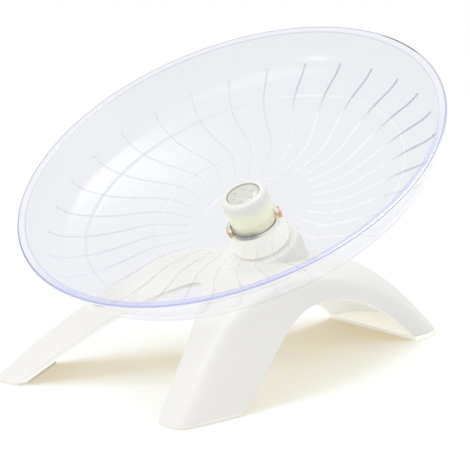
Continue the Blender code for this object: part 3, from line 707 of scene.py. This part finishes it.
INSIDE_ACROSS = (0.001, 0.004)
INSIDE_ALONG = (0.020, 0.030)
BELOW_DISH_RADII = (0.048, 0.072)
BELOW_DISH_FACING = (0.1, 0.7)
BELOW_DISH_ALONG = (0.030, 0.075)
FRONT_ROW_SHARES = (
    ((1.057, 0.798, -0.100), (1.076, 0.923, -0.100),
     (1.070, 1.040, -0.100), (0.667, 1.067, -0.100)),
    ((0.730, 0.577, 0.340), (0.748, 0.731, 0.386), (0.750, 0.875, 0.376), (0.399, 0.923, 0.255)),
    ((0.453, 0.337, 0.662), (0.459, 0.519, 0.738), (0.453, 0.673, 0.733), (0.189, 0.817, 0.519)),
    ((0.277, 0.125, 0.821), (0.189, 0.404, 0.917), (0.176, 0.644, 0.912), (0.013, 0.735, 0.702)),
    ((0.189, 0.000, 0.881), (0.000, 0.365, 0.976), (-0.050, 0.654, 0.960), (-0.126, 0.692, 0.729)),
)
REAR_ROW_SHARES = (
    ((0.174, 0.000, 1.012), (0.174, 0.773, 0.995), (0.184, 1.432, 0.893), (0.213, 1.500, 0.705)),
    ((0.367, 0.000, 0.981), (0.367, 0.682, 0.936), (0.367, 1.250, 0.762), (0.367, 1.295, 0.626)),
    ((0.580, 0.000, 0.821), (0.570, 0.591, 0.762), (0.560, 1.068, 0.571), (0.551, 1.091, 0.429)),
    ((0.792, 0.000, 0.524), (0.773, 0.568, 0.476), (0.725, 1.014, 0.357), (0.686, 1.014, 0.221)),
    ((1.034, 0.000, -0.100), (1.005, 0.591, -0.100),
     (0.918, 1.023, -0.088), (0.831, 1.023, -0.088)),
)


def cage_row(row, reach, half_width, side, top_share, skirt_share):
    """One row of the half cage, with two points close to the ridge to keep it crisp."""
    edge, middle, ridge, hem = (
        Vector((across * half_width, rim_centre.y - side * along * reach, up * SADDLE_HEIGHT))
        for along, across, up in row)
    return [edge, middle, ridge.lerp(middle, top_share), ridge.lerp(hem, skirt_share), hem]


cage = [cage_row(row, FRONT_REACH, FRONT_HALF_SPREAD, 1, RIDGE_TOP_SHARE, RIDGE_SKIRT_SHARE)
        for row in FRONT_ROW_SHARES]
cage += [cage_row(row, REAR_REACH, REAR_HALF_WIDTH, -1, REAR_RIDGE_TOP_SHARE,
                  REAR_RIDGE_SKIRT_SHARE) for row in REAR_ROW_SHARES]
cage_faces = []
for row in range(len(cage) - 1):
    for column in range(4):
        corner = row * 5 + column
        cage_faces.append((corner, corner + 5, corner + 6, corner + 1))
shell_mesh = bpy.data.meshes.new("stand_shell")
shell_mesh.from_pydata([point for row in cage for point in row], [], cage_faces)
shell = linked(bpy.data.objects.new("stand_shell", shell_mesh))
halves = shell.modifiers.new("halves", "MIRROR")
halves.use_clip = True
halves.merge_threshold = 0.00005
soften = shell.modifiers.new("soften", "SUBSURF")
soften.levels = SUBDIVISIONS
soften.render_levels = SUBDIVISIONS
wall = shell.modifiers.new("wall", "SOLIDIFY")
wall.thickness = SHELL_WALL
wall.offset = -1.0
wall.use_even_offset = True
lip = shell.modifiers.new("lip", "BEVEL")
lip.width = LIP_EASE
lip.segments = 2
lip.limit_method = "ANGLE"
lip.angle_limit = math.radians(50)


def cutter(name, mesh):
    thing = linked(bpy.data.objects.new(name, mesh))
    thing.hide_render = True
    return thing


def block_mesh(name, low, high):
    shape = bmesh.new()
    low = Vector(low)
    high = Vector(high)
    bmesh.ops.create_cube(shape, size=1.0, matrix=Matrix.Translation((low + high) / 2)
                          @ Matrix.Diagonal((*(high - low), 1.0)))
    mesh = bpy.data.meshes.new(name)
    shape.to_mesh(mesh)
    shape.free()
    return mesh


boss = cutter("boss", turned_mesh("boss", [
    (0.0, -BOSS_TOP), (BOSS_RADIUS - BOSS_EASE, -BOSS_TOP), (BOSS_RADIUS, -BOSS_TOP - BOSS_EASE),
    (BOSS_RADIUS, -BOSS_FOOT), (0.0, -BOSS_FOOT)], 96, False))
bore = cutter("bore", turned_mesh("bore", [
    (0.0, 0.0), (BOLT_HOLE, 0.0), (BOLT_HOLE, -POCKET_FLOOR), (POCKET_RADIUS, -POCKET_FLOOR),
    (POCKET_RADIUS, -RIM_RADIUS), (0.0, -RIM_RADIUS)], 64, False))
ground = cutter("ground", block_mesh("ground", (-2 * RIM_RADIUS, -2 * RIM_RADIUS, -RIM_RADIUS),
                                     (2 * RIM_RADIUS, 2 * RIM_RADIUS, SHELL_FOOT)))
for tool, operation in ((boss, "UNION"), (bore, "DIFFERENCE"), (ground, "DIFFERENCE")):
    step = shell.modifiers.new(tool.name, "BOOLEAN")
    step.operation = operation
    step.solver = "EXACT"
    step.object = tool
shell_mesh = settled(shell)
for tool in (boss, bore, ground):
    bpy.data.objects.remove(tool, do_unlink=True)

moulded = Finish("white_moulding")
moulded_place = moulded.place()
cloud = moulded.noise(moulded_place, 28.0, 3.0)
grain = moulded.noise(moulded_place, 1600.0, 2.0)
moulded_tone = moulded.blend(cloud, MOULDED_DARK, MOULDED_LIGHT)

# A faint glow stands in for light that bounces between the white faces and a bright studio: on
# undersides, inside the rear leg and on top where the clear dish is above.
facing = moulded.parts_of(moulded.node("ShaderNodeNewGeometry", {}, {}, "Normal"))
stand_x, stand_y = moulded.parts_of(moulded_place)[:2]
stand_across, stand_along = moulded.parts_of(moulded.axle_place())[:2]
stand_radius = (stand_across ** 2.0 + stand_along ** 2.0) ** 0.5
below_dish = 1.0 - stand_radius.rises(*BELOW_DISH_RADII)
below_dish = below_dish * (1.0 - facing[0].rises(*BELOW_DISH_FACING))
below_dish = below_dish * (1.0 - stand_y.rises(*BELOW_DISH_ALONG))
under_share = (-1.0 * facing[2]).rises(*UNDER_FACING)
rear_inside = (-1.0 * stand_x * facing[0]).rises(*INSIDE_ACROSS) * stand_y.rises(*INSIDE_ALONG)
glow = (UNDER_GLOW_SHARE * under_share).larger(INSIDE_GLOW_SHARE * rear_inside)
glow = moulded.seen_by("Is Camera Ray") * glow.larger(BELOW_DISH_GLOW_SHARE * below_dish)
moulded_finish = moulded.surface(moulded.node("ShaderNodeBsdfPrincipled", {}, {
    "Base Color": moulded_tone, "Roughness": 0.34 + 0.10 * cloud, "IOR": 1.49,
    "Emission Color": moulded.blend(glow, BLACK, BOUNCE_GLOW),
    "Emission Strength": 1.0,
    "Normal": moulded.bump(grain, 0.00003, 0.25)}))
piece("stand_shell", smoothed(shell_mesh, 32.0), moulded_finish, "stand", "white_plastic", "stand")


# Soles: a thin soft pad under each foot, cut to the foot's outline and stuck on.
PAD_DARK = (0.78, 0.77, 0.73)
PAD_LIGHT = (0.86, 0.85, 0.81)
PAD_PAINTED_GLOW = (0.68, 0.66, 0.56)
PAD_SIDE_SHARE = 0.20
PAD_REAR_SHARE = 0.65
PAD_UP_FACING = (0.5, 0.9)
PAD_REAR_ALONG = (0.0, 0.02)
pad_look = Finish("soft_pads")
pad_grain = pad_look.noise(pad_look.place(), 900.0, 3.0)
pad_facing = pad_look.parts_of(pad_look.node("ShaderNodeNewGeometry", {}, {}, "Normal"))
pad_rear = pad_look.parts_of(pad_look.place())[1].rises(*PAD_REAR_ALONG)
# Painted light: the pads glow faintly for the camera, most on upward faces and the rear pad.
pad_painted_glow = PAD_SIDE_SHARE + (1.0 - PAD_SIDE_SHARE) * pad_facing[2].rises(*PAD_UP_FACING)
pad_painted_glow = pad_look.seen_by("Is Camera Ray") * pad_painted_glow.larger(PAD_REAR_SHARE * pad_rear)
pad_finish = pad_look.surface(pad_look.node("ShaderNodeBsdfPrincipled", {}, {
    "Base Color": pad_look.blend(pad_grain, PAD_DARK, PAD_LIGHT),
    "Roughness": 0.65 + 0.2 * pad_grain, "Normal": pad_look.bump(pad_grain, 0.00005, 0.5),
    "Emission Color": pad_look.blend(pad_painted_glow, BLACK, PAD_PAINTED_GLOW),
    "Emission Strength": 1.0}))
for node in ("front_left_sole", "front_right_sole", "rear_sole"):
    for holder_slot in frame["nodes"][node].material_slots:
        holder_slot.material = pad_finish


# Hub hardware: a sealed ball bearing held by a bronze clip, on a steel bolt with washers, a
# spacer and a lock nut. Each piece is a merged, smooth-shaded copy of its solid.
METAL_EASE = 0.00012


def fine_copy(node, name, body, slot, finish, ease=METAL_EASE):
    source = frame["nodes"][node].data
    shape = bmesh.new()
    shape.from_mesh(source)
    bmesh.ops.remove_doubles(shape, verts=shape.verts, dist=MERGE_WITHIN)
    bmesh.ops.dissolve_limit(shape, angle_limit=math.radians(1), verts=shape.verts,
                             edges=shape.edges)
    mesh = bpy.data.meshes.new(name)
    shape.to_mesh(mesh)
    shape.free()
    holder = linked(bpy.data.objects.new(name, mesh))
    eased = holder.modifiers.new("ease", "BEVEL")
    eased.width = ease
    eased.segments = 2
    eased.limit_method = "ANGLE"
    eased.angle_limit = math.radians(40)
    return piece(name, smoothed(settled(holder)), finish, body, slot, node)


def metal(name, dark, light, roughness, scale):
    look = Finish(name)
    across, along, above = look.parts_of(look.axle_place())
    around = look.node("ShaderNodeMath", {"operation": "ARCTAN2"}, {0: along, 1: across})
    out = (across * across + along * along) ** 0.5
    streak = look.noise(look.node("ShaderNodeCombineXYZ", {}, {
        0: around * 0.4, 1: out * scale, 2: above * scale}), 1.0, 2.0)
    return look.surface(look.node("ShaderNodeBsdfPrincipled", {}, {
        "Base Color": look.blend(streak, dark, light), "Metallic": 1.0,
        "Roughness": roughness + 0.12 * streak, "Normal": look.bump(streak, 0.00002, 0.3)}))


bright_steel = metal("bright_steel", (0.52, 0.52, 0.54), (0.70, 0.70, 0.71), 0.20, 9000.0)
dark_steel = metal("dark_steel", (0.10, 0.10, 0.11), (0.20, 0.20, 0.21), 0.38, 5000.0)
bronze = metal("bronze", (0.62, 0.40, 0.22), (0.80, 0.56, 0.34), 0.42, 7000.0)
nylon_look = Finish("nylon")
nylon_cloud = nylon_look.noise(nylon_look.place(), 400.0, 2.0)
nylon = nylon_look.surface(nylon_look.node("ShaderNodeBsdfPrincipled", {}, {
    "Base Color": nylon_look.blend(nylon_cloud, (0.55, 0.60, 0.72), (0.66, 0.70, 0.80)),
    "Roughness": 0.42 + 0.1 * nylon_cloud}))
HUB_PIECES = (
    ("axle_bolt", "stand", "bright_steel", bright_steel),
    ("bolt_washer", "stand", "bright_steel", bright_steel),
    ("spacer_sleeve", "stand", "bright_steel", bright_steel),
    ("upper_washer", "stand", "bright_steel", bright_steel),
    ("lock_nut", "stand", "bright_steel", bright_steel),
    ("nut_insert", "stand", "nylon", nylon),
    ("bearing_inner_ring", "stand", "bright_steel", bright_steel),
    ("bearing_outer_ring", "dish", "bright_steel", bright_steel),
    ("bearing_shield_top", "dish", "dark_steel", dark_steel),
    ("bearing_shield_bottom", "dish", "dark_steel", dark_steel),
    ("bearing_clip", "dish", "bronze", bronze), ("bearing_cage", "cage", "bronze", bronze))
for node, body, slot, finish in HUB_PIECES:
    fine_copy(node, node + "_fine", body, slot, finish)
for node in sorted(frame["nodes"]):
    if node.startswith("bearing_ball_"):
        fine_copy(node, node + "_fine", "cage", "bright_steel", bright_steel)


# Cap: a cream, slightly see-through plastic cap pressed over the lock nut, with a rounded
# shoulder and a shallow round recess. A plain disc with a ring of dots fills the recess.
CAP_BASE = 0.0297
CAP_TOP = 0.0144
CAP_BASE_RADIUS = 0.0088
CAP_TOP_RADIUS = 0.0097
CAP_SHOULDER = 0.0022
CAP_RECESS_RADIUS = 0.0069
CAP_RECESS_FLOOR = 0.0160
CAP_CAVITY_RADIUS = 0.0060
CAP_CAVITY_TOP = 0.0180
CAP_EDGE = 0.0003
CAP_TOP_FADE = (-0.0225, -0.0160)
BADGE_EASE = 0.0001
CREAM_DARK = (0.80, 0.83, 0.66)
CREAM_LIGHT = (0.88, 0.89, 0.76)
CREAM_TOP_SHADE = (0.84, 0.85, 0.82)
RECESS_SHADE_TONE = (0.66, 0.67, 0.62)
CREAM_PAINTED_GLOW = (0.13, 0.13, 0.08)
CREAM_TOP_PAINTED_GLOW = (0.04, 0.04, 0.03)
cap_profile = [(0.0, -CAP_RECESS_FLOOR), (CAP_RECESS_RADIUS, -CAP_RECESS_FLOOR),
               (CAP_RECESS_RADIUS, -CAP_TOP - CAP_EDGE),
               (CAP_RECESS_RADIUS + CAP_EDGE, -CAP_TOP)]
cap_profile += soft_bend((CAP_TOP_RADIUS - CAP_SHOULDER, -CAP_TOP), (CAP_TOP_RADIUS, -CAP_TOP),
                         (CAP_TOP_RADIUS, -CAP_TOP - CAP_SHOULDER), 8)
cap_profile += [(CAP_BASE_RADIUS, -CAP_BASE + CAP_EDGE), (CAP_BASE_RADIUS - CAP_EDGE, -CAP_BASE),
                (CAP_CAVITY_RADIUS, -CAP_BASE), (CAP_CAVITY_RADIUS, -CAP_CAVITY_TOP),
                (0.0, -CAP_CAVITY_TOP)]
cream = Finish("cream_cap")
cream_cloud = cream.noise(cream.place(), 160.0, 3.0)
cream_grain = cream.noise(cream.place(), 2500.0, 1.0)
cream_across, cream_along, cream_height = cream.parts_of(cream.axle_place())
cream_radius = (cream_across ** 2.0 + cream_along ** 2.0) ** 0.5
# Painted shade and light: the cap's top is toned greyer, and the cap glows faintly, least on top.
near_top = cream_height.rises(*CAP_TOP_FADE)
# Painted shade: the recess in the cap's top is painted darker.
recess = near_top * (1.0 - cream_radius.rises(CAP_RECESS_RADIUS, CAP_RECESS_RADIUS + CAP_EDGE))
cream_tone = cream.blend(cream_cloud, CREAM_DARK, CREAM_LIGHT)
cream_tone = cream.blend(near_top, cream_tone, CREAM_TOP_SHADE)
cream_finish = cream.surface(cream.node("ShaderNodeBsdfPrincipled", {}, {
    "Base Color": cream.blend(recess, cream_tone, RECESS_SHADE_TONE),
    "Roughness": 0.32 + 0.10 * cream_cloud, "IOR": 1.49, "Coat Weight": 0.2,
    "Emission Color": cream.blend(near_top, CREAM_PAINTED_GLOW, CREAM_TOP_PAINTED_GLOW),
    "Emission Strength": 1.0,
    "Normal": cream.bump(cream_grain, 0.00002, 0.3)}))
piece("hub_cap", smoothed(turned_mesh("hub_cap", cap_profile, 96, False)), cream_finish,
      "stand", "cream_plastic", "cap")
fine_copy("cap_badge", "cap_badge_fine", "stand", "cream_plastic", cream_finish,
          BADGE_EASE)
